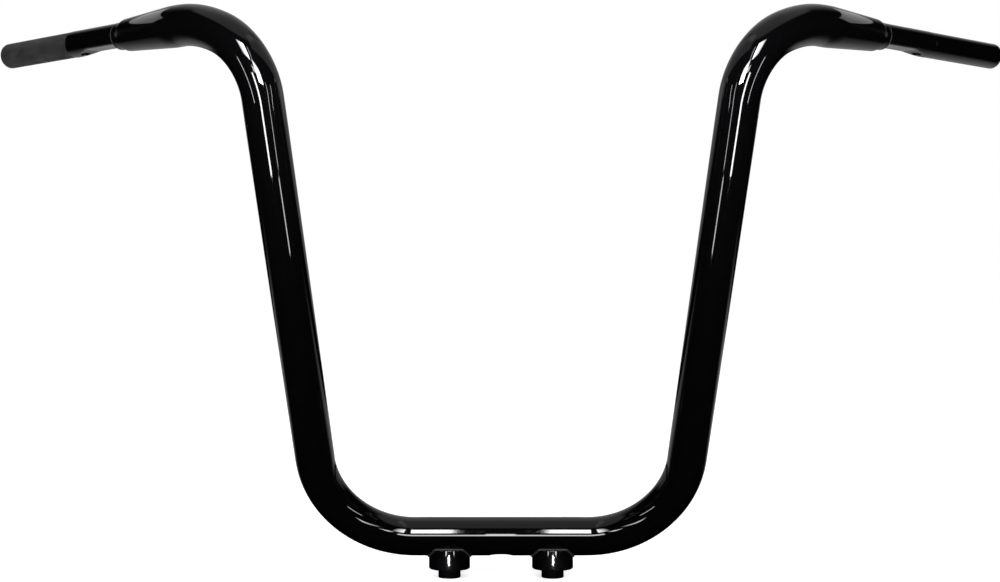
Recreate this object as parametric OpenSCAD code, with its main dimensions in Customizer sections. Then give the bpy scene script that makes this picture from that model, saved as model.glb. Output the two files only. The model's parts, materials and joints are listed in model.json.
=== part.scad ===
// Ape hanger handlebar: a fat bent tube with swaged ends, a thinner control tube butt-welded
// to each end, and two turned bungs under the middle that bolt to the top clamp.
// The origin is midway between the bungs, on their seat plane. +X points to the rider's left,
// +Y back towards the rider and +Z up along the bungs. Left and right are the rider's.

/* [Main tube] */
// Outer diameter of the bent tube
main_d = 38.1; // [34:0.1:42]
// Wall of the bent tube and its swaged ends
main_wall = 3; // [2:0.1:4]
// Straight run across the bottom, between the lower bends
base_len = 170; // [160:1:260]
// Centreline radius of the lower bends
lower_bend_r = 95.25; // [75:0.25:130]
// Angle by which each upright spreads outwards from square to the bottom run
upright_splay = 5; // [0:0.5:12]
// Angle by which the whole U leans forward of the bungs
upright_lean = 23.5; // [0:0.5:35]
// Straight length of each upright
upright_len = 365; // [200:1:450]
// Metal that bending draws off each face of the wall
bend_thinning = 0.1; // [0.08:0.01:0.2]

/* [Upper bends] */
// Centreline radius of the tight part of each upper bend
upper_bend_r = 57.15; // [50:0.05:90]
// Angle turned by the tight part
upper_bend_angle = 76; // [60:1:90]
// Centreline radius of the part where the bend eases into the straight
ease_bend_r = 114.3; // [80:0.1:160]
// Angle turned by the easing part
ease_bend_angle = 26.5; // [10:0.5:30]
// Angle by which the hand ends turn back, out of the plane of the U
sweep_roll = 39; // [20:1:60]
// Straight run between the bend and the swaged end
tail_len = 10; // [4:1:60]

/* [Swaged ends] */
// Length of the cone that draws the tube down
cone_len = 66; // [40:1:110]
// Outer diameter at the small end of the cone
cone_end_d = 30.6; // [28:0.1:33]
// Radius of the rounded shoulder after the cone
shoulder_r = 7; // [5:0.5:8]
// Length of the thin neck from the shoulder's centre line to the seam
neck_len = 14; // [10:0.5:30]

/* [Control tubes] */
// Outer diameter of the control tubes and of the necks they meet
control_d = 25.4; // [22.2:0.1:26.5]
// Wall of the control tubes
control_wall = 3; // [2:0.1:4]
// Length of each control tube, from the seam to its open end
control_len = 188; // [150:1:260]
// Length of the stretch at the open end that is turned to size for the grip and knurled on the right
grip_len = 114; // [90:1:120]
// Depth of that stretch below the plain tube
grip_step = 0.2; // [0.1:0.05:0.4]
// Length of the bore reamed to size at the open end
ream_len = 60; // [30:1:68]
// Metal that the reamer takes off the bore's wall
ream_depth = 0.4; // [0.25:0.05:0.6]
// Chamfer round the open end of each control tube
control_chamfer = 1.2; // [0.4:0.1:2]

/* [Wiring] */
// Depth of the pressed flat under each control tube
flat_depth = 4.2; // [2:0.1:5]
// Full-depth length of the pressed flat, from the seam
flat_len = 46; // [20:1:60]
// Length of the ramp at the outer end of the flat
ramp_len = 20; // [10:1:22]
// Turn of the flat about its tube, which brings it to the underside
flat_turn = -21; // [-60:1:60]
// Diameter of the wire hole in each ramp
wire_hole_d = 9; // [5:0.5:11]
// Place of the wire hole along its ramp, as a share of the ramp's length
wire_hole_place = 0.6; // [0.5:0.05:0.7]
// Length of the wiring slot under the middle of the bottom run
slot_len = 25; // [18:0.5:40]
// Width of the wiring slot
slot_w = 18; // [8:0.5:20]

/* [Bungs] */
// Distance between the two bungs
bung_spacing = 101.6; // [88.9:0.1:110]
// Diameter of the round boss of each bung
boss_d = 40.5; // [34:0.1:44]
// Height of the boss, from its seat to the top of its cradle
boss_h = 20; // [16:0.1:26]
// Height of the bent tube's underside above the seat
seat_drop = 12.7; // [10:0.1:15]
// Radius rounded on the boss's lower edge
boss_edge_r = 1.8; // [0.5:0.1:3]
// Diameter of the spigot below the seat
spigot_d = 22; // [18:0.1:28]
// Length of the spigot
spigot_len = 8.8; // [4:0.1:14]
// Chamfer round the end of the spigot
spigot_chamfer = 0.8; // [0.3:0.1:1.5]
// Diameter of the tapped hole for the clamp bolt, at the thread's crests
bolt_hole_d = 10.8; // [8:0.1:14]
// Solid metal left between the tapped hole's floor and the bent tube
bolt_hole_floor = 3.2; // [3:0.1:5]

/* [Welds] */
// Leg of the fillet weld round each bung
bung_weld = 2.2; // [1.2:0.1:3]
// Half-width of the bead round each seam
seam_bead_r = 1.2; // [0.8:0.1:2]
// Height of that bead above the tubes
seam_bead_h = 0.45; // [0.2:0.05:0.7]

/* [Hidden] */

coat = [0.03, 0.03, 0.035];
knurl_grey = [0.25, 0.26, 0.27];
weld_grey = [0.08, 0.08, 0.085];

RIGHT = -1; // the rider's right, at minus X
LEFT = 1;

main_r = main_d / 2;
main_bore_r = main_r - main_wall;
control_r = control_d / 2;
control_bore_r = control_r - control_wall;
boss_r = boss_d / 2;
spigot_r = spigot_d / 2;
axis_z = seat_drop + main_r; // height of the bottom run's axis above the seat
past = 1; // how far a cutter runs past a face
lap = 0.5; // how far neighbouring stretches of the tube run into each other
round_fn = 96;
arc_step = 15; // angle between the points of a rounded profile
shoulder_end = 0.98; // where the shoulder meets the neck, as a share of its radius past its centre line
bend_fn = 180;

// Bend table of one half: run before the bend, turn of the bend's plane, radius, angle, thinning
BENDS = [
    [0, 0, lower_bend_r, 90 - upright_splay, bend_thinning],
    [upright_len, 180 + sweep_roll, upper_bend_r, upper_bend_angle, bend_thinning],
    [0, 0, ease_bend_r, ease_bend_angle, bend_thinning / 2]
];

// Moves along one row of the bend table, to where its bend starts
module to_bend(row) {
    translate([0, 0, row[0]]) rotate([0, 0, row[1]]) children();
}

// Moves round a bend to its far end
module past_bend(row) {
    translate([row[2], 0, 0]) rotate([0, row[3], 0]) translate([-row[2], 0, 0]) children();
}

// Places children after the first rows of the bend table
module follow(rows, i = 0) {
    if (i < rows) to_bend(BENDS[i]) past_bend(BENDS[i]) follow(rows, i + 1) children();
    else children();
}

// Local +Z runs out along the bottom run, local +X points up along the U
module one_half(side) {
    mirror([side == RIGHT ? 1 : 0, 0, 0])
        translate([0, 0, axis_z])
            rotate([180 + upright_lean, 0, 0])
                rotate([0, 90, 0])
                    translate([0, 0, base_len / 2])
                        children();
}

// Where the swaged end starts, and where the control tube is welded on
swage_len = tail_len + cone_len + neck_len;
module at_swage(side) one_half(side) follow(len(BENDS)) children();
module at_seam(side) at_swage(side) translate([0, 0, swage_len]) children();

module tube_ring(thinning) {
    difference() {
        circle(r = main_r - thinning, $fn = round_fn);
        circle(r = main_bore_r + thinning, $fn = round_fn);
    }
}

module tube_run(run) {
    if (run > 0) translate([0, 0, -lap]) linear_extrude(run + 2 * lap) tube_ring(0);
}

module tube_bend(row) {
    lap_angle = lap / row[2] * 180 / PI;
    translate([row[2], 0, 0])
        rotate([90, 0, 180])
            rotate([0, 0, -lap_angle])
                rotate_extrude(angle = row[3] + lap_angle, $fn = bend_fn)
                    translate([row[2], 0]) tube_ring(row[4]);
}

// Outline of the swaged end, drawn in by inset for its bore: tail, cone, rounded shoulder, neck
shoulder_z = tail_len + cone_len;
function shoulder(inset) = [
    for (turn = [0:arc_step:90 - arc_step])
        [cone_end_d / 2 - shoulder_r + (shoulder_r - inset) * cos(turn),
         shoulder_z + (shoulder_r - inset) * sin(turn)]
];
function swage_outline(start_r, neck_r, inset) = concat(
    [[start_r, -lap], [start_r, tail_len]],
    [for (p = shoulder(inset)) if (p[0] > neck_r) p],
    [[neck_r, shoulder_z + (shoulder_r - inset) * shoulder_end], [neck_r, swage_len]]
);
function backwards(list) = [for (i = [len(list) - 1:-1:0]) list[i]];

module swaged_end() {
    outer = swage_outline(main_r, control_r, 0);
    inner = swage_outline(main_bore_r, control_bore_r, main_wall);
    rotate_extrude($fn = round_fn) polygon(concat(outer, backwards(inner)));
}

module half_tube(side) {
    one_half(side)
        for (i = [0:len(BENDS) - 1])
            follow(i) {
                tube_run(BENDS[i][0]);
                to_bend(BENDS[i]) tube_bend(BENDS[i]);
            }
    at_swage(side) swaged_end();
}

// The slot is cut straight up through the lower wall only
module wiring_slot() {
    straight = max(slot_len - slot_w, 0);
    linear_extrude(axis_z) {
        square([straight, slot_w], center = true);
        for (x = [-straight / 2, straight / 2]) translate([x, 0]) circle(d = slot_w, $fn = round_fn);
    }
}

module main_tube() {
    color(coat)
        difference() {
            union() {
                translate([-base_len / 2, 0, axis_z])
                    rotate([180 + upright_lean, 0, 0])
                        rotate([0, 90, 0])
                            tube_run(base_len);
                half_tube(RIGHT);
                half_tube(LEFT);
            }
            wiring_slot();
        }
}

// Everything beyond the pressed flat and its ramp, drawn in by inset for the bore
module flat_cutter(inset) {
    depth = control_r - flat_depth - inset;
    far = 2 * control_r;
    reach = ramp_len * (far - depth) / flat_depth;
    rotate([0, 0, flat_turn])
        translate([0, control_d, 0])
            rotate([90, 0, 0])
                linear_extrude(2 * control_d)
                    polygon([[depth, -past], [depth, flat_len], [far, flat_len + reach], [far, -past]]);
}

// Turned outline of a control tube: plain up to the grip, then a step down and the chamfered end
module control_outline() {
    grip_r = control_r - grip_step;
    grip_start = control_len - grip_len;
    polygon([
        [0, 0], [control_r, 0], [control_r, grip_start], [grip_r, grip_start],
        [grip_r, control_len - control_chamfer], [grip_r - control_chamfer, control_len], [0, control_len]
    ]);
}

module control_tube() {
    hole_along = flat_len + ramp_len * wire_hole_place;
    difference() {
        rotate_extrude($fn = round_fn) control_outline();
        flat_cutter(0);
        difference() {
            translate([0, 0, -past]) cylinder(r = control_bore_r, h = control_len + 2 * past, $fn = round_fn);
            flat_cutter(control_wall);
        }
        translate([0, 0, control_len - ream_len])
            cylinder(r = control_bore_r + ream_depth, h = ream_len + past, $fn = round_fn);
        rotate([0, 0, flat_turn])
            translate([0, 0, hole_along])
                rotate([0, 90, 0]) cylinder(d = wire_hole_d, h = control_d, $fn = round_fn);
    }
}

module right_control_tube() color(knurl_grey) at_seam(RIGHT) control_tube();
module left_control_tube() color(coat) at_seam(LEFT) control_tube();

// The bent tube's outside, as a straight cutter long enough for one bung
module cradle(r) {
    rotate([0, 90, 0]) cylinder(r = r, h = 2 * boss_d, center = true, $fn = round_fn);
}

module boss_profile() {
    corner = boss_r - boss_edge_r;
    polygon(concat(
        [[0, -spigot_len], [spigot_r - spigot_chamfer, -spigot_len], [spigot_r, spigot_chamfer - spigot_len],
         [spigot_r, 0]],
        [for (turn = [-90:arc_step:0]) [corner + boss_edge_r * cos(turn), boss_edge_r * (1 + sin(turn))]],
        [[boss_r, boss_h], [0, boss_h]]
    ));
}

module bung(side) {
    hole_len = spigot_len + seat_drop - bolt_hole_floor;
    point_len = bolt_hole_d / 4; // the drill point's cone
    translate([side * bung_spacing / 2, 0, 0])
        difference() {
            rotate_extrude($fn = round_fn) boss_profile();
            translate([0, 0, axis_z]) cradle(main_r);
            translate([0, 0, -spigot_len - past])
                cylinder(d = bolt_hole_d, h = hole_len - point_len + past, $fn = round_fn);
            translate([0, 0, -spigot_len + hole_len - point_len])
                cylinder(d1 = bolt_hole_d, d2 = 0, h = point_len, $fn = round_fn);
        }
}

module right_bung() color(coat) bung(RIGHT);
module left_bung() color(coat) bung(LEFT);

// A bead that follows the edge of the cradle: a thin skin of the bent tube, just outside the boss
module bung_weld(side) {
    translate([side * bung_spacing / 2, 0, 0])
        difference() {
            intersection() {
                cylinder(r = boss_r + bung_weld, h = boss_h + bung_weld, $fn = round_fn);
                translate([0, 0, axis_z]) cradle(main_r + bung_weld);
            }
            cylinder(r = boss_r, h = boss_h, $fn = round_fn);
            translate([0, 0, axis_z]) cradle(main_r);
        }
}

module right_bung_weld() color(weld_grey) bung_weld(RIGHT);
module left_bung_weld() color(weld_grey) bung_weld(LEFT);

// A low crowned bead round the seam
module seam_weld(side) {
    crown = [for (turn = [0:arc_step:180]) [control_r + seam_bead_h * sin(turn), seam_bead_r * cos(turn)]];
    at_seam(side) rotate_extrude($fn = round_fn) polygon(crown);
}

module right_seam_weld() color(weld_grey) seam_weld(RIGHT);
module left_seam_weld() color(weld_grey) seam_weld(LEFT);

main_tube();
right_control_tube();
left_control_tube();
right_bung();
left_bung();
right_bung_weld();
left_bung_weld();
right_seam_weld();
left_seam_weld();
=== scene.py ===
import json
import math

import bpy
from bpy.props import FloatProperty, FloatVectorProperty, IntProperty, PointerProperty
from mathutils import Matrix, Vector

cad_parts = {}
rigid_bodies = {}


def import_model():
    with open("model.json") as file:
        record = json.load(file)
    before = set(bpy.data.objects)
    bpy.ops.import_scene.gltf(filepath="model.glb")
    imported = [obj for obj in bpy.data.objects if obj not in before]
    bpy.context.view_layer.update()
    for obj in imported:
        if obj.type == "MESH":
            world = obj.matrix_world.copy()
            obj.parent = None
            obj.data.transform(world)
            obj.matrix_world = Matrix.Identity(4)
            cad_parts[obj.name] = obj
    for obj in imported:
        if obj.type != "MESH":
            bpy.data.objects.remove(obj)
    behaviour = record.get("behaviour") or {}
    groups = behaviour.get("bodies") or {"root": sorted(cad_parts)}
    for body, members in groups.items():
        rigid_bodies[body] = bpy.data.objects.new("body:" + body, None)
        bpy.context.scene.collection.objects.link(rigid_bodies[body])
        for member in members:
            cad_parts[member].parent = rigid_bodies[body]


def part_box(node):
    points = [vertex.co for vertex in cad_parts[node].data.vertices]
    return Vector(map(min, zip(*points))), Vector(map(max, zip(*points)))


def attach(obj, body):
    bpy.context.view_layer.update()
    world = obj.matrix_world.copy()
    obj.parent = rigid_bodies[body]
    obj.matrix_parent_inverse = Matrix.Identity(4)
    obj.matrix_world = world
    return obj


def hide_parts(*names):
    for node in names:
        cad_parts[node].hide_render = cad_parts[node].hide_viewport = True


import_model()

bl_info = {
    "name": "Ape Hanger Handlebar",
    "version": (1, 0, 0),
    "blender": (4, 5, 0),
    "location": "View3D > Sidebar > Handlebar",
    "description": "Bends, presses, turns and coats the pieces of a tall motorcycle handlebar",
    "category": "Object",
}

MM = 0.001
SAME_POINT = 0.000002  # points nearer than this are merged
RIGHT, LEFT = -1, 1  # the rider's right is at minus X
SIDE_NAMES = {RIGHT: "right", LEFT: "left"}
BODY = "root"


def millimetres(name, description, value):
    return FloatProperty(name=name, description=description, default=value * MM, unit="LENGTH", precision=5)


def degrees(name, description, value):
    return FloatProperty(name=name, description=description, default=math.radians(value), subtype="ANGLE")


def colour(name, description, value):
    return FloatVectorProperty(
        name=name, description=description, default=value, subtype="COLOR", min=0, max=1)


# Sizes and colours


class TubeSizes(bpy.types.PropertyGroup):
    diameter: millimetres("Diameter", "Outer diameter of the bent tube", 38.1)
    wall: millimetres("Wall", "Wall of the bent tube", 3)
    axis_height: millimetres("Axis height", "Height of the bottom run's axis above the bung seats", 31.75)
    base_run: millimetres("Base run", "Straight run across the bottom", 170)
    lower_radius: millimetres("Lower bend radius", "Centreline radius of the lower bends", 95.25)
    splay: degrees("Splay", "Angle by which each upright spreads outwards", 5)
    lean: degrees("Lean", "Angle by which the U leans forward of the bungs", 23.5)
    upright_run: millimetres("Upright run", "Straight length of each upright", 365)
    upper_radius: millimetres("Upper bend radius", "Centreline radius of the tight part of the upper bends", 57.15)
    upper_angle: degrees("Upper bend angle", "Angle turned by the tight part", 76)
    ease_radius: millimetres("Easing radius", "Centreline radius of the easing part", 114.3)
    ease_angle: degrees("Easing angle", "Angle turned by the easing part", 26.5)
    sweep: degrees("Sweep", "Turn of the upper bends out of the plane of the U", 39)
    tail: millimetres("Tail", "Straight run between the bend and the cone", 10)
    cone: millimetres("Cone", "Length of the cone that draws the tube down", 66)
    cone_end: millimetres("Cone end", "Diameter at the small end of the cone", 30.6)
    shoulder: millimetres("Shoulder radius", "Radius of the rounded shoulder after the cone", 7)
    neck: millimetres("Neck", "Length from the shoulder's centre line to the seam", 14)
    thinning: millimetres("Bend thinning", "Metal that bending draws off the outside", 0.13)
    slot_length: millimetres("Slot length", "Length of the wiring slot", 25)
    slot_width: millimetres("Slot width", "Width of the wiring slot", 18)
    around: IntProperty(name="Sides", description="Faces round the tube", default=112, min=24)


class ControlTubeSizes(bpy.types.PropertyGroup):
    diameter: millimetres("Diameter", "Outer diameter of the control tubes", 25.4)
    wall: millimetres("Wall", "Wall of the control tubes", 3)
    length: millimetres("Length", "Length from the seam to the open end", 188)
    chamfer: millimetres("Chamfer", "Chamfer round the open end", 1.2)
    flat_depth: millimetres("Flat depth", "Depth of the pressed flat", 4.2)
    flat_length: millimetres("Flat length", "Full-depth length of the flat from the seam", 46)
    ramp: millimetres("Ramp", "Length of the ramp at the outer end of the flat", 20)
    flat_turn: degrees("Flat turn", "Turn that brings the flat to the underside", -21)
    hole: millimetres("Wire hole", "Diameter of the wire hole in each ramp", 9)
    hole_place: FloatProperty(name="Hole place", description="Place of the hole, as a share of the ramp", default=0.6)
    grip_length: millimetres("Grip length", "Length of the stretch turned to size for the grip", 114)
    grip_step: millimetres("Grip step", "Depth of that stretch below the plain tube", 0.2)
    ream_length: millimetres("Ream length", "Length of the reamed bore at the open end", 60)
    ream_depth: millimetres("Ream depth", "Metal that the reamer takes off the bore's wall", 0.4)
    knurl_depth: millimetres("Knurl depth", "Height of a diamond above its grooves", 0.4)
    knurl_columns: IntProperty(name="Knurl columns", description="Diamonds round the tube", default=60, min=12)
    knurl_rows: IntProperty(name="Knurl rows", description="Diamonds along the tube", default=52, min=4)


class BungSizes(bpy.types.PropertyGroup):
    spacing: millimetres("Spacing", "Distance between the two bungs", 101.6)
    boss: millimetres("Boss", "Diameter of the round boss", 40.5)
    boss_height: millimetres("Boss height", "Height from the seat to the top of the cradle", 20)
    edge: millimetres("Edge", "Radius on the boss's lower edge", 1.8)
    spigot: millimetres("Spigot", "Diameter of the spigot", 22)
    spigot_length: millimetres("Spigot length", "Length of the spigot below the seat", 8.8)
    spigot_chamfer: millimetres("Spigot chamfer", "Chamfer round the end of the spigot", 0.8)
    crest: millimetres("Thread crest", "Diameter of the tapped hole at its crests", 10.8)
    root: millimetres("Thread root", "Diameter of the tapped hole at its roots", 12.7)
    pitch: millimetres("Thread pitch", "Distance between two turns of the thread", 1.95)
    hole_depth: millimetres("Hole depth", "Depth of the tapped hole from the spigot's end", 18.3)


class WeldSizes(bpy.types.PropertyGroup):
    fillet: millimetres("Fillet", "Half-thickness of the bead round each bung", 1.0)
    seam: millimetres("Seam", "Half-thickness of the bead round each seam", 0.78)
    ripple: millimetres("Ripple", "Distance between two ripples of a bead", 1.7)
    rise: FloatProperty(name="Rise", description="How much a ripple swells, as a share of the bead", default=0.1)


class CoatSettings(bpy.types.PropertyGroup):
    black: colour("Coat", "Colour of the gloss coat", (0.0006, 0.0006, 0.0007))
    dust: colour("Dust", "Colour of the dust specks in the coat", (0.008, 0.008, 0.0085))
    knurl: colour("Knurl", "Colour of the coat in the knurl's grooves", (0.0048, 0.0048, 0.0051))
    crest: colour("Crest", "Colour where the knurl's crests are rubbed", (0.046, 0.0465, 0.048))
    steel: colour("Thread", "Colour of the bare oiled thread", (0.16, 0.155, 0.15))


class StudioSettings(bpy.types.PropertyGroup):
    backdrop: FloatProperty(name="Backdrop", description="Brightness of the backdrop that the camera sees", default=1.0)
    fill: FloatProperty(name="Fill", description="Brightness of the room that lights the scene", default=0.7)
    floor: colour("Floor", "Colour of the pale floor", (0.8, 0.8, 0.8))
    lens: FloatProperty(name="Lens", description="Focal length in millimetres", default=65.7)


# Small tools of the bench


def alone(thing):
    """Leaves one object selected and active."""
    if bpy.context.object and bpy.context.object.mode != "OBJECT":
        bpy.ops.object.mode_set(mode="OBJECT")
    for other in bpy.context.view_layer.objects:
        other.select_set(False)
    thing.select_set(True)
    bpy.context.view_layer.objects.active = thing


def nothing_selected():
    for other in bpy.context.view_layer.objects:
        other.select_set(False)


def named(name):
    made = bpy.context.object
    made.name = made.data.name = name
    return made


def edit(thing):
    """Opens a mesh with points as what the tools select."""
    alone(thing)
    bpy.ops.object.mode_set(mode="EDIT")
    bpy.ops.mesh.select_mode(type="VERT")


def done():
    bpy.ops.object.mode_set(mode="OBJECT")


def select_points(thing, chosen):
    """Selects the points for which chosen(place) is true, and nothing else."""
    edit(thing)
    bpy.ops.mesh.select_all(action="DESELECT")
    done()
    for point in thing.data.vertices:
        point.select = bool(chosen(point.co))
    edit(thing)


def place(thing, matrix):
    """Turns and moves the finished mesh, and leaves the object at the origin."""
    alone(thing)
    thing.matrix_world = matrix
    bpy.ops.object.transform_apply(location=True, rotation=True, scale=True)


def modify(thing, kind, **settings):
    alone(thing)
    modifier = thing.modifiers.new(kind.title(), kind)
    for key, value in settings.items():
        setattr(modifier, key, value)
    bpy.ops.object.modifier_apply(modifier=modifier.name)


def cut(thing, cutter):
    modify(thing, "BOOLEAN", operation="DIFFERENCE", solver="EXACT", object=cutter)
    bpy.data.objects.remove(cutter)


def smooth(thing, angle=32):
    alone(thing)
    bpy.ops.object.shade_smooth_by_angle(angle=math.radians(angle))


def close_up(thing):
    """Merges doubles and points all faces outwards."""
    edit(thing)
    bpy.ops.mesh.select_all(action="SELECT")
    bpy.ops.mesh.remove_doubles(threshold=SAME_POINT)
    bpy.ops.mesh.normals_make_consistent(inside=False)
    done()


def turned(name, profile, sides, closed=True):
    """Turns a profile of (radius, height) points about the Z axis, as on a lathe."""
    nothing_selected()
    radius, height = profile[0]
    bpy.ops.mesh.primitive_plane_add(size=MM, location=(0, 0, 0))
    thing = named(name)
    edit(thing)
    bpy.ops.mesh.merge(type="CENTER")
    bpy.ops.transform.translate(value=(radius, 0, height))
    for there in profile[1:] + ([profile[0]] if closed else []):
        step = (there[0] - radius, 0, there[1] - height)
        bpy.ops.mesh.extrude_vertices_move(TRANSFORM_OT_translate={"value": step})
        radius, height = there
    bpy.ops.mesh.select_all(action="SELECT")
    bpy.ops.mesh.remove_doubles(threshold=SAME_POINT)
    bpy.ops.mesh.spin(steps=sides, angle=2 * math.pi, center=(0, 0, 0), axis=(0, 0, 1))
    done()
    close_up(thing)
    return thing


def arc(centre_r, centre_z, radius, first, last, count):
    """Points on an arc of a profile, from one angle to another."""
    turns = [math.radians(first + (last - first) * i / count) for i in range(count + 1)]
    return [(centre_r + radius * math.cos(t), centre_z + radius * math.sin(t)) for t in turns]


def finish_piece(thing, material, stands_for):
    thing.data.materials.clear()
    thing.data.materials.append(material)
    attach(thing, BODY)
    if stands_for:
        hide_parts(stands_for)


# The tube's centre line


class Walk:
    """A place on the tube's centre line: its point, its heading, and the way in to the next bend's centre."""

    def __init__(self, point, heading, inward):
        self.point, self.heading, self.inward = Vector(point), Vector(heading), Vector(inward)

    def ahead(self, run):
        self.point += self.heading * run

    def roll(self, angle):
        self.inward = Matrix.Rotation(angle, 3, self.heading) @ self.inward

    def bend(self, radius, angle):
        """Moves round a bend and returns its centre and the axis that the spin tool takes."""
        centre = self.point + self.inward * radius
        axis = self.inward.cross(self.heading)
        turn = Matrix.Rotation(-angle, 3, axis)
        self.point = centre + turn @ (self.point - centre)
        self.heading, self.inward = turn @ self.heading, turn @ self.inward
        return centre, axis

    def matrix(self):
        side = self.heading.cross(self.inward)
        turn = Matrix((self.inward, side, self.heading)).transposed()
        return Matrix.Translation(self.point) @ turn.to_4x4()


def start_walk(tube):
    lean = tube.lean
    return Walk((0, 0, tube.axis_height), (1, 0, 0), (0, -math.sin(lean), math.cos(lean)))


def bends(tube):
    """Straight run, roll, radius, angle and steps of each bend, in the order in which they are made."""
    quarter = math.pi / 2
    return [
        (tube.base_run / 2, 0, tube.lower_radius, quarter - tube.splay, 54),
        (tube.upright_run, math.pi + tube.sweep, tube.upper_radius, tube.upper_angle, 50),
        (0, 0, tube.ease_radius, tube.ease_angle, 18),
    ]


def swage_profile(tube):
    """Distance along the swaged end and radius there, from the end of the bend to the seam."""
    full, small = tube.diameter / 2, tube.cone_end / 2
    neck = bpy.context.scene.handlebar_controls.diameter / 2
    middle = tube.tail + tube.cone
    points = [(tube.tail * i / 2, full) for i in (1, 2)]
    points += [(tube.tail + tube.cone * i / 12, full + (small - full) * i / 12) for i in range(1, 13)]
    centre = small - tube.shoulder
    for turn in range(9, 50, 8):
        radius = centre + tube.shoulder * math.cos(math.radians(turn))
        points.append((middle + tube.shoulder * math.sin(math.radians(turn)), radius))
    hollow = middle + tube.shoulder
    points += [
        (hollow - 0.9 * MM, neck + 0.35 * MM), (hollow - 0.2 * MM, neck + 0.1 * MM), (hollow + 0.6 * MM, neck)]
    return points + [(middle + tube.neck, neck)]


def seam_place(side):
    """The matrix of the seam on one side: Z along the control tube, X towards the inside of the last bend."""
    tube = bpy.context.scene.handlebar_tube
    walk = start_walk(tube)
    for run, roll, radius, angle, steps in bends(tube):
        walk.ahead(run)
        walk.roll(roll)
        walk.bend(radius, angle)
    walk.ahead(tube.tail + tube.cone + tube.neck)
    flip = Matrix.Diagonal((side, 1, 1, 1))
    return flip @ walk.matrix()


def place_at_seam(thing, side):
    place(thing, seam_place(side))
    if side == RIGHT:
        edit(thing)
        bpy.ops.mesh.select_all(action="SELECT")
        bpy.ops.mesh.flip_normals()
        done()


# Finishes


def socket(group, way, kind, name, default=None):
    made = group.interface.new_socket(name=name, in_out=way, socket_type=kind)
    if default is not None:
        made.default_value = default


def node(tree, kind, links=None, **settings):
    """Adds a node, sets its fields and inputs by name, and links the sockets given."""
    made = tree.nodes.new(kind)
    for key, value in settings.items():
        if hasattr(made, key):
            setattr(made, key, value)
        else:
            made.inputs[key.replace("_", " ").title()].default_value = value
    for key, source in (links or {}).items():
        tree.links.new(source, made.inputs[key])
    return made


def coat_group():
    """Powder coat: a fine orange peel, cloudy gloss, and dust specks caught in it."""
    group = bpy.data.node_groups.get("powder_coat")
    if group:
        return group
    group = bpy.data.node_groups.new("powder_coat", "ShaderNodeTree")
    socket(group, "INPUT", "NodeSocketColor", "Colour", (0.003, 0.003, 0.003, 1))
    socket(group, "INPUT", "NodeSocketColor", "Dust Colour", (0.03, 0.03, 0.03, 1))
    socket(group, "INPUT", "NodeSocketFloat", "Gloss", 0.05)
    socket(group, "INPUT", "NodeSocketFloat", "Dust", 0.5)
    socket(group, "INPUT", "NodeSocketFloat", "Peel Scale", 420)
    socket(group, "OUTPUT", "NodeSocketColor", "Colour")
    socket(group, "OUTPUT", "NodeSocketFloat", "Roughness")
    socket(group, "OUTPUT", "NodeSocketFloat", "Height")
    taken = node(group, "NodeGroupInput").outputs
    given = node(group, "NodeGroupOutput").inputs
    coords = node(group, "ShaderNodeTexCoord").outputs["Object"]
    peel = node(
        group, "ShaderNodeTexNoise", {"Vector": coords, "Scale": taken["Peel Scale"]}, detail=2.0, roughness=0.4)
    broad = node(group, "ShaderNodeTexNoise", {"Vector": coords}, scale=38.0, detail=1.5)
    height = node(group, "ShaderNodeMath", {0: peel.outputs["Fac"], 1: broad.outputs["Fac"]}, operation="ADD")
    group.links.new(height.outputs[0], given["Height"])
    specks = node(group, "ShaderNodeTexVoronoi", {"Vector": coords}, feature="F1", scale=330.0)
    dot = node(group, "ShaderNodeMapRange", {"Value": specks.outputs["Distance"]}, clamp=True)
    dot.inputs["From Min"].default_value, dot.inputs["From Max"].default_value = 0.1, 0.055
    patch = node(group, "ShaderNodeMapRange", {"Value": broad.outputs["Fac"]}, clamp=True)
    patch.inputs["From Min"].default_value, patch.inputs["From Max"].default_value = 0.5, 0.68
    some = node(group, "ShaderNodeMath", {0: dot.outputs[0], 1: patch.outputs[0]}, operation="MULTIPLY")
    dusty = node(group, "ShaderNodeMath", {0: some.outputs[0], 1: taken["Dust"]}, operation="MULTIPLY")
    mixed = node(group, "ShaderNodeMix", data_type="RGBA")
    group.links.new(dusty.outputs[0], mixed.inputs[0])
    group.links.new(taken["Colour"], mixed.inputs[6])
    group.links.new(taken["Dust Colour"], mixed.inputs[7])
    group.links.new(mixed.outputs[2], given["Colour"])
    cloud = node(group, "ShaderNodeMapRange", {"Value": broad.outputs["Fac"]}, clamp=True)
    cloud.inputs["From Min"].default_value, cloud.inputs["From Max"].default_value = 0.35, 0.75
    cloud.inputs["To Min"].default_value, cloud.inputs["To Max"].default_value = 0.0, 0.03
    gloss = node(group, "ShaderNodeMath", {0: cloud.outputs[0], 1: taken["Gloss"]}, operation="ADD")
    rough = node(group, "ShaderNodeMath", {0: dusty.outputs[0]}, operation="MULTIPLY_ADD")
    rough.inputs[1].default_value = 0.4
    group.links.new(gloss.outputs[0], rough.inputs[2])
    group.links.new(rough.outputs[0], given["Roughness"])
    return group


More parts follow.
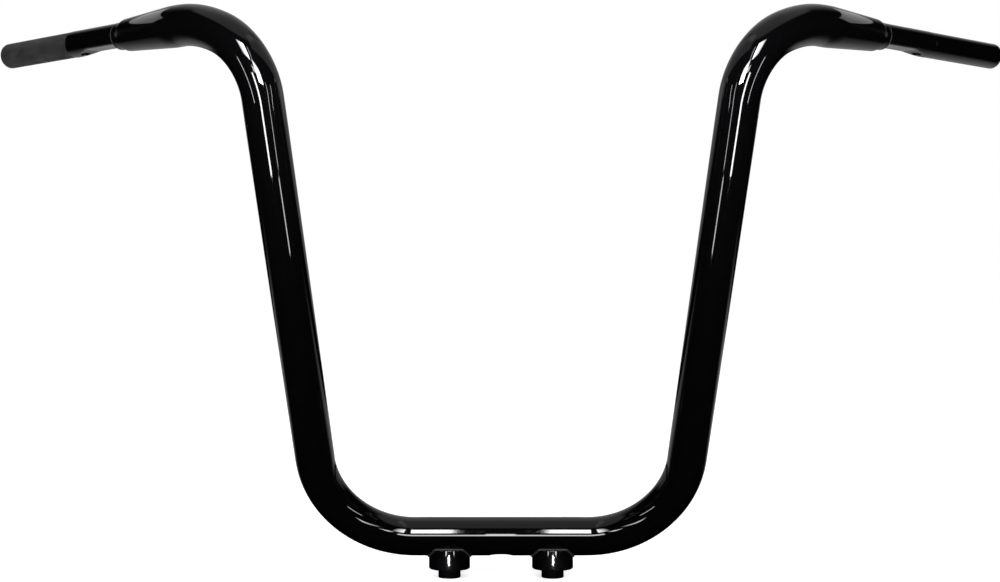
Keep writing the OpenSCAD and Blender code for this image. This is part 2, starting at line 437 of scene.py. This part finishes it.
def coat_material(
        name, base, gloss=0.035, dust=0.5, peel=420.0, depth=0.003 * MM, attribute=None, paler=None):
    """A material over the powder coat group. An attribute on the mesh can mark where it takes a paler colour."""
    found = bpy.data.materials.get(name)
    if found:
        return found
    colours = bpy.context.scene.handlebar_coat
    material = bpy.data.materials.new(name)
    material.use_nodes = True
    tree = material.node_tree
    shader = tree.nodes["Principled BSDF"]
    coat = node(tree, "ShaderNodeGroup", node_tree=coat_group())
    coat.inputs["Colour"].default_value = (*base, 1)
    coat.inputs["Dust Colour"].default_value = (*colours.dust, 1)
    coat.inputs["Gloss"].default_value = gloss
    coat.inputs["Dust"].default_value = dust
    coat.inputs["Peel Scale"].default_value = peel
    tint = coat.outputs["Colour"]
    # The crests marked by the attribute take a paler colour than the grooves, in noisy patches.
    if attribute:
        crest_mask = node(tree, "ShaderNodeAttribute", attribute_name=attribute)
        coords = node(tree, "ShaderNodeTexCoord").outputs["Object"]
        patches = node(tree, "ShaderNodeTexNoise", {"Vector": coords}, scale=75.0, detail=3.0)
        level = node(tree, "ShaderNodeMapRange", {"Value": patches.outputs["Fac"]}, clamp=True)
        level.inputs["From Min"].default_value, level.inputs["From Max"].default_value = 0.3, 0.7
        level.inputs["To Min"].default_value, level.inputs["To Max"].default_value = 0.15, 1.0
        share = node(
            tree, "ShaderNodeMath", {0: crest_mask.outputs["Fac"], 1: level.outputs[0]}, operation="MULTIPLY")
        pale_mix = node(tree, "ShaderNodeMix", data_type="RGBA")
        tree.links.new(share.outputs[0], pale_mix.inputs[0])
        tree.links.new(tint, pale_mix.inputs[6])
        pale_mix.inputs[7].default_value = (*paler, 1)
        tint = pale_mix.outputs[2]
    tree.links.new(tint, shader.inputs["Base Color"])
    tree.links.new(coat.outputs["Roughness"], shader.inputs["Roughness"])
    bump = node(tree, "ShaderNodeBump", {"Height": coat.outputs["Height"]})
    bump.inputs["Distance"].default_value = depth
    tree.links.new(bump.outputs["Normal"], shader.inputs["Normal"])
    return material


def gloss_coat():
    return coat_material("gloss_coat", bpy.context.scene.handlebar_coat.black)


def boss_coat():
    return coat_material("boss_coat", bpy.context.scene.handlebar_coat.black, gloss=0.08, peel=600.0)


def weld_coat():
    """The same coat over a bead, with less shine."""
    black = bpy.context.scene.handlebar_coat.black
    material = coat_material("weld_coat", black, gloss=0.1, peel=900.0, depth=0.004 * MM)
    material.node_tree.nodes["Principled BSDF"].inputs["Specular IOR Level"].default_value = 0.15
    return material


def knurl_coat():
    colours = bpy.context.scene.handlebar_coat
    return coat_material(
        "knurl_coat", colours.knurl, gloss=0.36, dust=0.2, peel=900.0, depth=0.01 * MM,
        attribute="crest", paler=colours.crest)


def thread_steel():
    """Bare oiled steel with the tap's fine scratches."""
    material = bpy.data.materials.get("thread_steel")
    if material:
        return material
    steel = bpy.context.scene.handlebar_coat.steel
    material = coat_material("thread_steel", steel, gloss=0.28, dust=0.1, peel=1400.0)
    material.node_tree.nodes["Principled BSDF"].inputs["Metallic"].default_value = 1.0
    return material


# The pieces


class HANDLEBAR_OT_bent_tube(bpy.types.Operator):
    """Bend the fat tube, swage its ends and cut the wiring slot"""

    bl_idname = "handlebar.bent_tube"
    bl_label = "Bent Tube"

    def execute(self, context):
        tube = context.scene.handlebar_tube
        walk = start_walk(tube)
        nothing_selected()
        bpy.ops.mesh.primitive_circle_add(
            vertices=tube.around, radius=tube.diameter / 2, location=walk.point, rotation=(0, math.pi / 2, 0))
        thing = named("bent_tube")
        bpy.ops.object.transform_apply(location=True, rotation=True, scale=True)
        edit(thing)
        bpy.ops.mesh.select_all(action="SELECT")
        near_slot = tube.slot_length / 2 + 2 * MM
        drawn = 1 - 2 * tube.thinning / tube.diameter
        for i, (run, roll, radius, angle, steps) in enumerate(bends(tube)):
            if i == 0:
                self.extrude(walk, near_slot, 12)
                self.extrude(walk, run - near_slot, 6)
            elif run:
                self.extrude(walk, run, 12)
            walk.roll(roll)
            self.widen(walk, drawn)
            centre, axis = walk.bend(radius, angle)
            bpy.ops.mesh.spin(steps=steps, angle=angle, center=centre, axis=axis)
            self.widen(walk, 1 / drawn)
        before, size = 0, tube.diameter / 2
        for along, radius in swage_profile(tube):
            self.extrude(walk, along - before, 1)
            self.widen(walk, radius / size)
            before, size = along, radius
        done()
        close_up(thing)
        modify(thing, "MIRROR", use_axis=(True, False, False), merge_threshold=0.00001)
        close_up(thing)
        top = max(thing.data.polygons, key=lambda face: face.center.z)
        if top.normal.z < 0:
            edit(thing)
            bpy.ops.mesh.select_all(action="SELECT")
            bpy.ops.mesh.flip_normals()
            done()
        modify(thing, "SOLIDIFY", thickness=tube.wall, offset=-1)
        cut(thing, self.slot_cutter(tube))
        smooth(thing)
        finish_piece(thing, gloss_coat(), "main_tube")
        return {"FINISHED"}

    @staticmethod
    def widen(walk, share):
        bpy.ops.transform.resize(value=(share, share, share), center_override=walk.point)

    @staticmethod
    def extrude(walk, run, count):
        for _ in range(count):
            step = walk.heading * (run / count)
            bpy.ops.mesh.extrude_region_move(TRANSFORM_OT_translate={"value": step})
            walk.point += step

    @staticmethod
    def slot_cutter(tube):
        sides = 56
        half = (tube.slot_length - tube.slot_width) / 2
        nothing_selected()
        bpy.ops.mesh.primitive_cylinder_add(
            vertices=sides, radius=tube.slot_width / 2, depth=tube.axis_height,
            location=(0, 0, tube.axis_height / 2), rotation=(0, 0, math.pi / sides))
        cutter = named("slot_cutter")
        bpy.ops.object.transform_apply(location=True, rotation=True, scale=True)
        for way in (1, -1):
            select_points(cutter, lambda at: at.x * way > 0)
            bpy.ops.transform.translate(value=(way * half, 0, 0))
            done()
        return cutter


class HANDLEBAR_OT_control_tubes(bpy.types.Operator):
    """Turn both control tubes, press their flats, drill the wire holes and roll the knurl"""

    bl_idname = "handlebar.control_tubes"
    bl_label = "Control Tubes"

    def execute(self, context):
        sizes = context.scene.handlebar_controls
        for side in (RIGHT, LEFT):
            knurled = side == RIGHT
            thing = turned(SIDE_NAMES[side] + "_hand_tube", self.profile(sizes, knurled), 112)
            self.press(thing, sizes)
            cut(thing, self.hole_cutter(sizes))
            place_at_seam(thing, side)
            smooth(thing)
            node_name = SIDE_NAMES[side] + "_control_tube"
            finish_piece(thing, gloss_coat(), node_name)
            if knurled:
                sleeve = self.knurl(sizes)
                place_at_seam(sleeve, side)
                finish_piece(sleeve, knurl_coat(), node_name)
        return {"FINISHED"}

    @staticmethod
    def profile(sizes, knurled):
        """The wall's section as a closed loop: out along the tube, round its end and back along the bore."""
        outer, bore, end = sizes.diameter / 2, sizes.diameter / 2 - sizes.wall, sizes.length
        start = end - sizes.grip_length
        grip = outer - sizes.grip_step
        rows = [(start - 2 * MM) * i / 46 for i in range(47)]
        points = [(outer, s) for s in rows]
        points += [(outer, start - 0.4 * MM), (outer - 0.06 * MM, start - 0.1 * MM)]
        turned_to = grip - sizes.knurl_depth if knurled else grip
        points += [(turned_to, start + 0.1 * MM), (turned_to, end - sizes.chamfer), (grip - sizes.chamfer, end)]
        reamed, shelf, lip = bore + sizes.ream_depth, end - sizes.ream_length, 0.3 * MM
        points += [(reamed + lip, end), (reamed, end - lip), (reamed, shelf), (bore, shelf - 0.3 * MM)]
        return points + [(bore, s) for s in reversed(rows)]

    @staticmethod
    def press(thing, sizes):
        """Presses the flat: each point is drawn in to a plane, with a rolled edge where plane and tube meet."""
        outer = sizes.diameter / 2
        sharp, ease = 2600.0, 900.0
        for point in thing.data.vertices:
            at = point.co
            radius = math.hypot(at.x, at.y)
            if at.x < 0.2 * radius:
                continue
            inset = 0 if radius > outer - sizes.wall / 2 else sizes.wall
            past_flat = at.z - sizes.flat_length
            climb = past_flat if past_flat * ease > 30 else math.log1p(math.exp(past_flat * ease)) / ease
            plane = outer - sizes.flat_depth - inset + sizes.flat_depth * climb / sizes.ramp
            reach = plane * radius / at.x
            gap = (reach - radius) * sharp
            if gap > 30:
                continue
            if gap < 0:
                pressed = reach - math.log1p(math.exp(gap)) / sharp
            else:
                pressed = radius - math.log1p(math.exp(-gap)) / sharp
            point.co = Vector((at.x * pressed / radius, at.y * pressed / radius, at.z))
        place(thing, Matrix.Rotation(sizes.flat_turn, 4, "Z"))

    @staticmethod
    def hole_cutter(sizes):
        along = sizes.flat_length + sizes.ramp * sizes.hole_place
        nothing_selected()
        bpy.ops.mesh.primitive_cylinder_add(
            vertices=48, radius=sizes.hole / 2, depth=sizes.diameter,
            location=(sizes.diameter / 2, 0, along), rotation=(0, math.pi / 2, 0))
        cutter = named("hole_cutter")
        bpy.ops.object.transform_apply(location=True, rotation=True, scale=True)
        place(cutter, Matrix.Rotation(sizes.flat_turn, 4, "Z"))
        return cutter

    @staticmethod
    def knurl(sizes):
        """A sleeve of diamonds: every other point of its grid is raised, and each square splits in two."""
        crest = sizes.diameter / 2 - sizes.grip_step
        groove, under = crest - sizes.knurl_depth, crest - sizes.knurl_depth - 0.3 * MM
        start, end = sizes.length - sizes.grip_length, sizes.length - sizes.chamfer
        rows, columns = 2 * sizes.knurl_rows, 2 * sizes.knurl_columns
        row = (end - start) / rows
        points = [(under, start)] + [(groove, start + row * i) for i in range(rows + 1)] + [(under, end)]
        sleeve = turned("right_knurl", points, columns)

        def raised(at):
            if math.hypot(at.x, at.y) < groove - 0.05 * MM:
                return False
            i = round((at.z - start) / row)
            j = round(math.atan2(at.y, at.x) / (2 * math.pi / columns))
            return 0 < i < rows and (i + j) % 2 == 0

        select_points(sleeve, raised)
        share = crest / groove
        bpy.ops.transform.resize(value=(share, share, 1), center_override=(0, 0, 0))
        bpy.ops.mesh.select_all(action="SELECT")
        bpy.ops.mesh.quads_convert_to_tris(quad_method="SHORTEST_DIAGONAL")
        done()
        # Marks the raised crests, which the knurl material colours paler than the grooves.
        crest_mask = sleeve.data.attributes.new("crest", "FLOAT", "POINT")
        half_way = groove + sizes.knurl_depth / 2
        for i, point in enumerate(sleeve.data.vertices):
            crest_mask.data[i].value = 1.0 if math.hypot(point.co.x, point.co.y) > half_way else 0.0
        return sleeve


class HANDLEBAR_OT_bungs(bpy.types.Operator):
    """Turn the two bungs with their spigots, cradles and threads"""

    bl_idname = "handlebar.bungs"
    bl_label = "Bungs"

    def execute(self, context):
        sizes, tube = context.scene.handlebar_bungs, context.scene.handlebar_tube
        for side in (RIGHT, LEFT):
            shift = Matrix.Translation((side * sizes.spacing / 2, 0, 0))
            boss = turned(SIDE_NAMES[side] + "_boss", self.profile(sizes), 112)
            cut(boss, self.cradle_cutter(tube))
            place(boss, shift)
            smooth(boss)
            finish_piece(boss, boss_coat(), SIDE_NAMES[side] + "_bung")
            thread = self.thread(sizes, SIDE_NAMES[side] + "_thread")
            place(thread, shift)
            finish_piece(thread, thread_steel(), None)
        return {"FINISHED"}

    @staticmethod
    def profile(sizes):
        """Outside of spigot and boss, then down the tapped hole: a closed loop with the axis."""
        low, hole = -sizes.spigot_length, sizes.root / 2 + 0.03 * MM
        spigot, boss, top = sizes.spigot / 2, sizes.boss / 2, sizes.boss_height
        floor = low + sizes.hole_depth
        rim = 0.6 * MM
        points = [(0, floor), (hole, floor - hole / 2), (hole, low + rim), (hole + rim, low)]
        points += [(spigot - sizes.spigot_chamfer, low), (spigot, low + sizes.spigot_chamfer)]
        points += [(spigot, -0.5 * MM), (spigot + 0.15 * MM, -0.15 * MM), (spigot + 0.5 * MM, 0)]
        points += arc(boss - sizes.edge, sizes.edge, sizes.edge, -90, 0, 6)
        points += arc(boss - rim, top - rim, rim, 0, 90, 4)
        return points + [(0, top)]

    @staticmethod
    def cradle_cutter(tube):
        nothing_selected()
        bpy.ops.mesh.primitive_cylinder_add(
            vertices=128, radius=tube.diameter / 2 - 0.03 * MM, depth=80 * MM,
            location=(0, 0, tube.axis_height), rotation=(0, math.pi / 2, 0))
        cutter = named("cradle_cutter")
        bpy.ops.object.transform_apply(location=True, rotation=True, scale=True)
        return cutter

    @staticmethod
    def thread(sizes, name):
        """One turn's section, a flat-crested ridge, is screwed up the hole."""
        root, crest, pitch = sizes.root / 2 + 0.05 * MM, sizes.crest / 2, sizes.pitch
        turns = int((sizes.hole_depth - sizes.root / 4 - 2 * MM) / pitch)
        base = -sizes.spigot_length + 0.5 * MM
        nothing_selected()
        bpy.ops.mesh.primitive_plane_add(size=MM)
        thing = named(name)
        edit(thing)
        bpy.ops.mesh.merge(type="CENTER")
        at = (root, base)
        bpy.ops.transform.translate(value=(at[0], 0, at[1]))
        ridge = [(crest, 0.44), (crest, 0.56), (root, 0.98), (root, 0.02)]
        for radius, share in ridge:
            there = (radius, base + pitch * share)
            bpy.ops.mesh.extrude_vertices_move(
                TRANSFORM_OT_translate={"value": (there[0] - at[0], 0, there[1] - at[1])})
            at = there
        bpy.ops.mesh.select_all(action="SELECT")
        bpy.ops.mesh.remove_doubles(threshold=0.05 * MM)
        done()
        modify(thing, "SCREW", axis="Z", angle=2 * math.pi * turns, screw_offset=pitch * turns,
               steps=40 * turns, render_steps=40 * turns, use_smooth_shade=True)
        edit(thing)
        bpy.ops.mesh.select_all(action="DESELECT")
        bpy.ops.mesh.select_mode(type="EDGE")
        bpy.ops.mesh.select_non_manifold()
        bpy.ops.mesh.edge_face_add()
        done()
        close_up(thing)
        smooth(thing, 25)
        return thing


class HANDLEBAR_OT_welds(bpy.types.Operator):
    """Lay the rippled beads round the bungs and round the seams"""

    bl_idname = "handlebar.welds"
    bl_label = "Welds"

    def execute(self, context):
        scene = context.scene
        welds, bungs, tube = scene.handlebar_welds, scene.handlebar_bungs, scene.handlebar_tube
        for side in (RIGHT, LEFT):
            route = self.saddle(bungs, tube)
            bead = self.bead(SIDE_NAMES[side] + "_boss_bead", route, welds.fillet, welds)
            place(bead, Matrix.Translation((side * bungs.spacing / 2, 0, 0)))
            finish_piece(bead, weld_coat(), SIDE_NAMES[side] + "_bung_weld")
            ring = self.ring(scene.handlebar_controls.diameter / 2 - 0.6 * MM)
            bead = self.bead(SIDE_NAMES[side] + "_seam_bead", ring, welds.seam, welds)
            place_at_seam(bead, side)
            finish_piece(bead, weld_coat(), SIDE_NAMES[side] + "_seam_weld")
        return {"FINISHED"}

    @staticmethod
    def ring(radius):
        count = 288
        return [Vector((radius * math.cos(t), radius * math.sin(t), 0))
                for t in (2 * math.pi * i / count for i in range(count))]

    @staticmethod
    def saddle(bungs, tube):
        """The corner between boss and tube: along the ledge at front and back, round the boss at the sides."""
        boss, main = bungs.boss / 2, tube.diameter / 2
        ledge = math.sqrt(main ** 2 - (tube.axis_height - bungs.boss_height) ** 2)
        widest = math.asin(ledge / boss)
        half = boss * math.cos(widest)
        points = []
        for side in (1, -1):
            for i in range(90):
                turn = -widest + 2 * widest * i / 90
                y = boss * math.sin(turn)
                lift = abs(turn) / widest
                out = 0.6 * MM
                z = tube.axis_height - math.sqrt(main ** 2 - y ** 2) + (0.9 * lift - 0.5) * MM
                x = (boss + out * (1 - 0.5 * lift)) * math.cos(turn)
                points.append(Vector((x * side, (y + math.copysign(0.7 * MM, y) * lift) * side, z)))
            for i in range(60):
                x = half * (1 - 2 * i / 60)
                points.append(Vector((x * side, (ledge + 0.7 * MM) * side, bungs.boss_height + 0.4 * MM)))
        return points

    @staticmethod
    def bead(name, route, size, welds):
        """A closed curve whose thickness swells and drops once for each ripple."""
        curve = bpy.data.curves.new(name, "CURVE")
        curve.dimensions = "3D"
        curve.bevel_depth = size
        curve.bevel_resolution = 4
        spline = curve.splines.new("POLY")
        spline.points.add(len(route) - 1)
        spline.use_cyclic_u = True
        around = sum((route[i] - route[i - 1]).length for i in range(len(route)))
        ripples = round(around / welds.ripple)
        walked = 0.0
        for i, at in enumerate(route):
            walked += (at - route[i - 1]).length if i else 0.0
            phase = (walked / around * ripples) % 1.0
            spline.points[i].co = (*at, 1)
            spline.points[i].radius = 1 + welds.rise * (math.sqrt(1 - phase) - 0.5)
        thing = bpy.data.objects.new(name, curve)
        bpy.context.scene.collection.objects.link(thing)
        alone(thing)
        bpy.ops.object.convert(target="MESH")
        thing = named(name)
        close_up(thing)
        smooth(thing, 60)
        return thing


# The studio

# What a reflection sees of the room and the floor
NEAR_HORIZON, BACK_WALL, CEILING, FLOOR_SHEEN = 0.32, 0.52, 0.42, 0.45

# Name, place, way it faces, way its long side runs, two sides, watts, and spread in degrees where it is narrowed
MIDDLE_LAMPS = [
    ("eye_box", (0, -2.15, 0.47), (0, 2.15, -0.44), (0, 0, 1), (0.46, 0.28), 5.4),
    ("middle_box", (0, -0.825, 0.53), (0, 1, 0.35), (0, 0, 1), (0.2, 0.44), 9, 76),
    ("near_strip", (0, -0.357, 0.14), (0, 0.75, 0.66), (0, -0.5, 0.85), (0.035, 0.085), 0.12),
]
# The same for the lamps that stand once on each side, as they are on the +X side
SIDE_LAMPS = [
    ("high_box", (0.345, -1.64, 1.18), (0.45, 0.8, -0.45), (0, 0.49, 0.87), (0.56, 0.72), 20, 84),
    ("side_strip", (0.2685, -0.679, 0.192), (0.24, 0.51, 0.24), (0.21, -0.49, 0.84), (0.078, 0.44), 2.3, 140),
    ("cone_card", (0.415, -0.07, 0.595), (-0.7, -0.5, -0.5), (-0.68, 0.7, 0.25), (0.04, 0.125), 0.0075, 120),
    ("boss_strip", (0.0525, -0.07, 0.0047), (0, 1, 0), (0, 0, 1), (0.0045, 0.016), 0.007, 34),
    ("inner_card", (0, -0.16, 0.724), (1, 0, 0), (0, -0.78, 0.63), (0.3, 0.6), 0.22),
    ("far_strip", (0.61, -0.58, 0.25), (-0.38, 0.38, 0.2), (0, 0, 1), (0.025, 0.36), 0.5),
]


class HANDLEBAR_OT_studio(bpy.types.Operator):
    """Set up the pale floor, the soft lamps, the backdrop and the camera"""

    bl_idname = "handlebar.studio"
    bl_label = "Studio"

    def execute(self, context):
        studio = context.scene.handlebar_studio
        self.floor(studio)
        self.room(studio)
        self.lamps()
        camera = bpy.data.cameras.new("camera")
        camera.lens, camera.sensor_width = studio.lens, 36
        camera.clip_start, camera.clip_end = 0.01, 60
        eye = bpy.data.objects.new("camera", camera)
        eye.location = (-0.001, -1.8, 0.27355)
        eye.rotation_euler = (math.pi / 2, 0, 0)
        context.scene.collection.objects.link(eye)
        context.scene.camera = eye
        context.scene.view_settings.view_transform = "Standard"
        return {"FINISHED"}

    @staticmethod
    def ramp(tree, source, low, high, bottom, top):
        """Maps a span of one number on to a span of another."""
        made = node(tree, "ShaderNodeMapRange", {"Value": source}, clamp=True, interpolation_type="SMOOTHSTEP")
        for key, value in (("From Min", low), ("From Max", high), ("To Min", bottom), ("To Max", top)):
            made.inputs[key].default_value = value
        return made.outputs[0]

    def floor(self, studio):
        nothing_selected()
        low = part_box("right_bung")[0].z
        bpy.ops.mesh.primitive_plane_add(size=24, location=(0, 0, low))
        thing = named("floor")
        bpy.ops.object.transform_apply(location=True, rotation=True, scale=True)
        material = bpy.data.materials.new("pale_floor")
        material.use_nodes = True
        tree = material.node_tree
        tree.nodes.clear()
        path = node(tree, "ShaderNodeLightPath")
        diffuse = node(tree, "ShaderNodeBsdfDiffuse")
        diffuse.inputs["Color"].default_value = (*studio.floor, 1)
        lift = node(tree, "ShaderNodeEmission", {"Strength": path.outputs["Is Camera Ray"]})
        lift.inputs["Color"].default_value = (0.5, 0.5, 0.5, 1)
        seen = node(tree, "ShaderNodeAddShader", {0: diffuse.outputs[0], 1: lift.outputs[0]})
        apart = node(tree, "ShaderNodeSeparateXYZ", {0: node(tree, "ShaderNodeTexCoord").outputs["Object"]})
        behind = self.ramp(tree, apart.outputs["Y"], 0.1, 0.6, 0.0, FLOOR_SHEEN)
        aside = node(tree, "ShaderNodeMath", {0: apart.outputs["X"]}, operation="ABSOLUTE")
        near = self.ramp(tree, aside.outputs[0], 1.0, 1.4, 1.0, 0.0)
        patch = node(tree, "ShaderNodeMath", {0: behind, 1: near}, operation="MULTIPLY")
        mirrored = node(tree, "ShaderNodeEmission", {"Strength": patch.outputs[0]})
        either = node(tree, "ShaderNodeMixShader", {
            0: path.outputs["Is Glossy Ray"], 1: seen.outputs[0], 2: mirrored.outputs[0]})
        node(tree, "ShaderNodeOutputMaterial", {"Surface": either.outputs[0]})
        thing.data.materials.append(material)

    def room(self, studio):
        """White for the camera, an even fill for light, and for reflections a dark front, pale back and top."""
        world = bpy.data.worlds.new("studio_room")
        bpy.context.scene.world = world
        world.use_nodes = True
        tree = world.node_tree
        tree.nodes.clear()
        path = node(tree, "ShaderNodeLightPath")
        heading = node(tree, "ShaderNodeTexCoord").outputs["Generated"]
        apart = node(tree, "ShaderNodeSeparateXYZ", {0: heading})
        back = self.ramp(tree, apart.outputs["Y"], 0.2, 0.36, 0.0, 1.0)
        above = self.ramp(tree, apart.outputs["Z"], 0.12, 0.3, 0.0, 1.0)
        high = self.ramp(tree, apart.outputs["Z"], 0.78, 0.86, 0.0, CEILING)
        aside = node(tree, "ShaderNodeMath", {0: apart.outputs["X"]}, operation="ABSOLUTE")
        middle = self.ramp(tree, aside.outputs[0], 0.2, 0.7, BACK_WALL, 0.0)
        level = node(tree, "ShaderNodeMix", data_type="FLOAT")
        tree.links.new(above, level.inputs[0])
        level.inputs[2].default_value = NEAR_HORIZON
        tree.links.new(middle, level.inputs[3])
        wall = node(tree, "ShaderNodeMath", {0: back, 1: level.outputs[0]}, operation="MULTIPLY")
        seen = node(tree, "ShaderNodeMath", {0: wall.outputs[0], 1: high}, operation="MAXIMUM")
        choice = node(tree, "ShaderNodeMix", data_type="FLOAT")
        tree.links.new(path.outputs["Is Glossy Ray"], choice.inputs[0])
        choice.inputs[2].default_value = studio.fill
        tree.links.new(seen.outputs[0], choice.inputs[3])
        final = node(tree, "ShaderNodeMix", data_type="FLOAT")
        tree.links.new(path.outputs["Is Camera Ray"], final.inputs[0])
        tree.links.new(choice.outputs[0], final.inputs[2])
        final.inputs[3].default_value = studio.backdrop
        light = node(tree, "ShaderNodeBackground", {"Strength": final.outputs[0]})
        light.inputs["Color"].default_value = (1, 1, 1, 1)
        node(tree, "ShaderNodeOutputWorld", {"Surface": light.outputs[0]})

    @staticmethod
    def lamp(name, at, facing, upward, size, power, spread=180):
        """A soft box that the camera doesn't see. Upward is the way that its long side runs."""
        data = bpy.data.lights.new(name, "AREA")
        data.shape, data.size, data.size_y = "RECTANGLE", size[0], size[1]
        data.energy, data.spread = power, math.radians(spread)
        lamp = bpy.data.objects.new(name, data)
        back = -Vector(facing).normalized()
        side = Vector(upward).cross(back).normalized()
        lamp.matrix_world = Matrix.Translation(at) @ Matrix((side, back.cross(side), back)).transposed().to_4x4()
        lamp.visible_camera = False
        bpy.context.scene.collection.objects.link(lamp)
        return lamp

    def lamps(self):
        for name, *settings in MIDDLE_LAMPS:
            self.lamp(name, *settings)
        for way in (-1, 1):
            for name, at, facing, upward, *settings in SIDE_LAMPS:
                mirrored = [(way * x, y, z) for x, y, z in (at, facing, upward)]
                self.lamp(name, *mirrored, *settings)


class HANDLEBAR_PT_bench(bpy.types.Panel):
    """The handlebar's pieces, in the order in which they are made"""

    bl_idname = "HANDLEBAR_PT_bench"
    bl_label = "Handlebar"
    bl_space_type = "VIEW_3D"
    bl_region_type = "UI"
    bl_category = "Handlebar"

    def draw(self, context):
        for maker, settings in MAKERS:
            box = self.layout.box()
            box.operator(maker.bl_idname)
            group = getattr(context.scene, settings)
            for name in group.__annotations__:
                box.prop(group, name)
        box = self.layout.box()
        for name in context.scene.handlebar_coat.__annotations__:
            box.prop(context.scene.handlebar_coat, name)


MAKERS = [
    (HANDLEBAR_OT_bent_tube, "handlebar_tube"),
    (HANDLEBAR_OT_control_tubes, "handlebar_controls"),
    (HANDLEBAR_OT_bungs, "handlebar_bungs"),
    (HANDLEBAR_OT_welds, "handlebar_welds"),
    (HANDLEBAR_OT_studio, "handlebar_studio"),
]
SETTINGS = {
    "handlebar_tube": TubeSizes, "handlebar_controls": ControlTubeSizes, "handlebar_bungs": BungSizes,
    "handlebar_welds": WeldSizes, "handlebar_coat": CoatSettings, "handlebar_studio": StudioSettings,
}


def register():
    for name, group in SETTINGS.items():
        bpy.utils.register_class(group)
        setattr(bpy.types.Scene, name, PointerProperty(type=group))
    for maker, _ in MAKERS:
        bpy.utils.register_class(maker)
    bpy.utils.register_class(HANDLEBAR_PT_bench)


def unregister():
    bpy.utils.unregister_class(HANDLEBAR_PT_bench)
    for maker, _ in reversed(MAKERS):
        bpy.utils.unregister_class(maker)
    for name, group in SETTINGS.items():
        delattr(bpy.types.Scene, name)
        bpy.utils.unregister_class(group)


def main():
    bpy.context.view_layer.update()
    register()
    bpy.ops.handlebar.bent_tube()
    bpy.ops.handlebar.control_tubes()
    bpy.ops.handlebar.bungs()
    bpy.ops.handlebar.welds()
    bpy.ops.handlebar.studio()
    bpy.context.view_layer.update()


if __name__ == "__main__":
    main()
